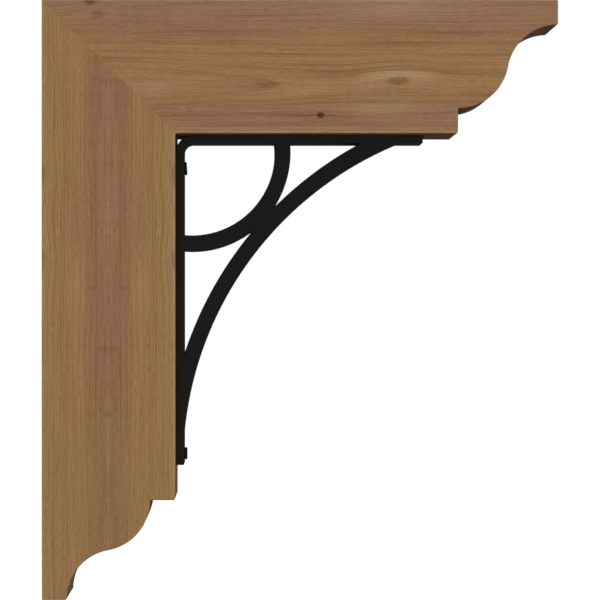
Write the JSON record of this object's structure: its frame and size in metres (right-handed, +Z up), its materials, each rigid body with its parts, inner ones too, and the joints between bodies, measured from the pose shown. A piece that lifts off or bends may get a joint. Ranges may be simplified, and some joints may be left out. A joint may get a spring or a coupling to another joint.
{
  "type": "corbel bracket",
  "caption": "Mitred timber corbel bracket with ogee ends, braced in its inner corner by a bent iron strap and curved bars.",
  "frame": {"origin": "middle of the flat back face that bears on the wall", "axes": "+X points out from the wall, +Z points up, Y runs across the bracket's thickness"},
  "size_m": [0.6115, 0.1396, 0.711],
  "materials": {
    "timber": "planed softwood, unvarnished, fine streaky grain with a few knots",
    "black_iron": "black satin coating on flat steel bar"
  },
  "bodies": {
    "root": {"horizontal_arm": "timber", "vertical_arm": "timber", "iron_strap": "black_iron", "long_arc": "black_iron", "corner_arc": "black_iron", "upper_screw": "black_iron", "lower_screw": "black_iron"}
  },
  "joints": []
}
